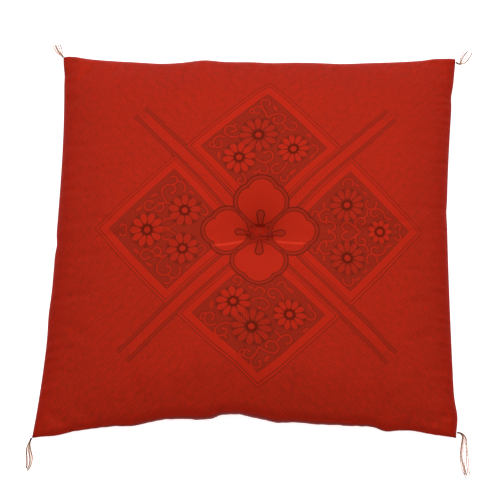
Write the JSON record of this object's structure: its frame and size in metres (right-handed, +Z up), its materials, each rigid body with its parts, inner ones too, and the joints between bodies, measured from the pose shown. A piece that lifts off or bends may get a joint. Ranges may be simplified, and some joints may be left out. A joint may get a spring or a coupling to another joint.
{
  "type": "zabuton",
  "caption": "Flat square floor cushion of woven cloth with a low crown, drawn-in sides, a stitched centre tuft and a thread tassel at each corner.",
  "frame": {"origin": "on the floor under the middle of the whole object, tassels included", "axes": "+Z up through the crown, -Y towards the front edge, +X to the right seen from the front"},
  "size_m": [0.604, 0.6708, 0.0599],
  "materials": {
    "cover_cloth": "red figured cotton with a soft sheen",
    "tuft_thread": "red twisted thread",
    "tassel_thread": "pale cream twisted thread"
  },
  "bodies": {
    "root": {"cushion": "cover_cloth", "tuft_stitch_top": "tuft_thread", "tuft_stitch_under": "tuft_thread", "tassel_front_left": "tassel_thread", "tassel_front_right": "tassel_thread", "tassel_back_left": "tassel_thread", "tassel_back_right": "tassel_thread"}
  },
  "joints": []
}
